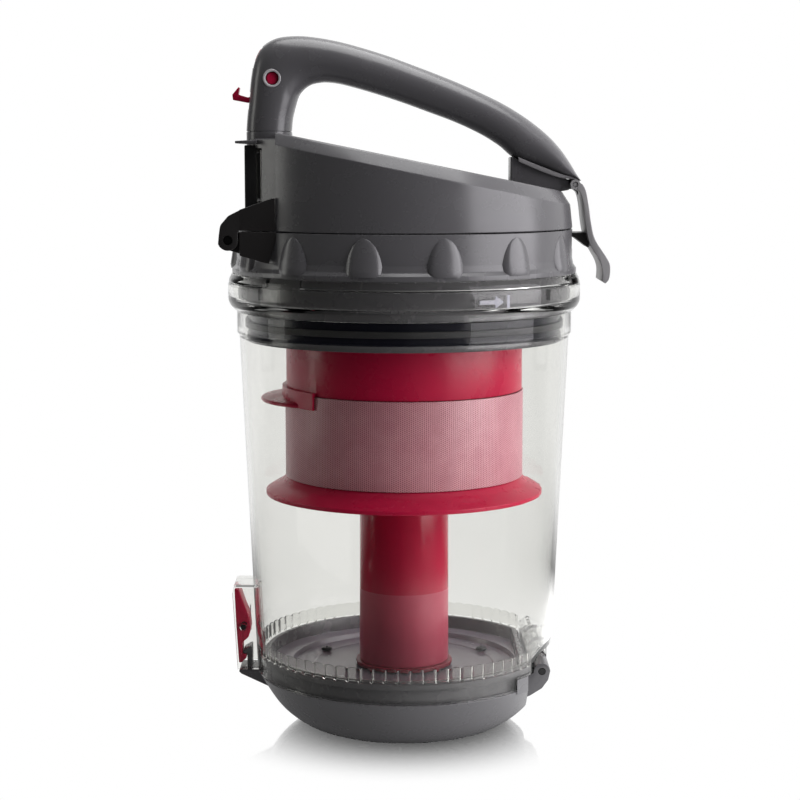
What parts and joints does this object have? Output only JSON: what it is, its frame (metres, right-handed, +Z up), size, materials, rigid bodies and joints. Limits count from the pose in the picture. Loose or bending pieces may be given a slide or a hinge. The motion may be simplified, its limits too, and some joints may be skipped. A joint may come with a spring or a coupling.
{
  "type": "cyclone dust canister",
  "caption": "Removable cyclone dust canister for a bagless vacuum: clear bin with hinged bottom door, perforated shroud, twist-lock head, hinged lid and carrying handle.",
  "frame": {"origin": "centre of the flat foot of the bottom door, on the canister's axis", "axes": "+Z up along the canister's axis; +X towards the lid latch; -X towards the lid hinge, outlet and release hook; -Y front"},
  "size_m": [0.1941, 0.18, 0.3538],
  "materials": {
    "gray_plastic": "glossy moulded ABS",
    "black_plastic": "satin",
    "clear_plastic": "clear polished",
    "red_plastic": "glossy",
    "screen": "fine perforated",
    "rubber": "soft matt",
    "steel": "plated",
    "foam": "open-cell foam",
    "filter_media": "pleated paper"
  },
  "bodies": {
    "bin": {"clear_bin": "clear_plastic", "inlet_seal": "rubber", "door_hinge_pin": "steel", "door_latch_pin": "steel", "door_latch_spring": "steel"},
    "bottom_door": {"bottom_door": "gray_plastic", "door_inner_plate": "gray_plastic", "door_seal": "rubber", "dust_tube_seal": "rubber", "door_screw_1": "steel", "door_screw_2": "steel", "door_screw_3": "steel"},
    "door_latch": {"door_latch_lever": "red_plastic"},
    "head": {"collar": "gray_plastic", "collar_hinge_arm_front": "black_plastic", "collar_hinge_arm_back": "black_plastic", "separator_plate": "black_plastic", "bin_seal": "rubber", "shroud_body": "red_plastic", "shroud_screen": "screen", "shroud_skirt": "red_plastic", "dust_tube": "red_plastic", "cyclone_cone": "red_plastic", "vortex_finder": "black_plastic", "filter_frame": "black_plastic", "foam_filter": "foam", "head_screw_1": "steel", "head_screw_2": "steel", "head_screw_3": "steel", "head_screw_4": "steel"},
    "lid": {"lid_cover": "gray_plastic", "lid_seal": "rubber", "outlet_seal": "rubber", "outlet_filter": "filter_media", "lid_hinge_arm_front": "black_plastic", "lid_hinge_arm_back": "black_plastic", "lid_hinge_pin_front": "steel", "lid_hinge_pin_back": "steel", "handle_front": "gray_plastic", "handle_back": "gray_plastic", "handle_screw_1": "steel", "handle_screw_2": "steel", "handle_screw_3": "steel", "lid_latch_pin": "steel", "release_pin": "red_plastic", "release_spring": "steel"},
    "lid_latch": {"lid_latch": "gray_plastic", "lid_latch_barb": "black_plastic"},
    "release": {"release_lever": "red_plastic"}
  },
  "joints": [
    {"name": "bottom_door_swing", "type": "hinge", "parent": "bin", "child": "bottom_door", "pos_m": [0.0699, 0, 0.0346], "axis": [0, -1, 0], "range_deg": [0, 95]},
    {"name": "door_latch_press", "type": "hinge", "parent": "bin", "child": "door_latch", "pos_m": [-0.0835, 0, 0.051], "axis": [0, 1, 0], "range_deg": [0, 9], "stiffness_Nm_per_rad": 0.06, "springref_deg": -5.73},
    {"name": "head_twist", "type": "hinge", "parent": "bin", "child": "head", "pos_m": [0, 0, 0.225], "axis": [0, 0, 1], "range_deg": [0, 18]},
    {"name": "lid_swing", "type": "hinge", "parent": "head", "child": "lid", "pos_m": [-0.0848, 0, 0.2535], "axis": [0, -1, 0], "range_deg": [0, 95]},
    {"name": "lid_latch_pull", "type": "hinge", "parent": "lid", "child": "lid_latch", "pos_m": [0.086, 0, 0.2796], "axis": [0, -1, 0], "range_deg": [0, 10], "stiffness_Nm_per_rad": 0.08, "springref_deg": -5.73},
    {"name": "release_press", "type": "hinge", "parent": "lid", "child": "release", "pos_m": [-0.066, 0, 0.3323], "axis": [0, -1, 0], "range_deg": [0, 9], "stiffness_Nm_per_rad": 0.04, "springref_deg": -5.73}
  ]
}
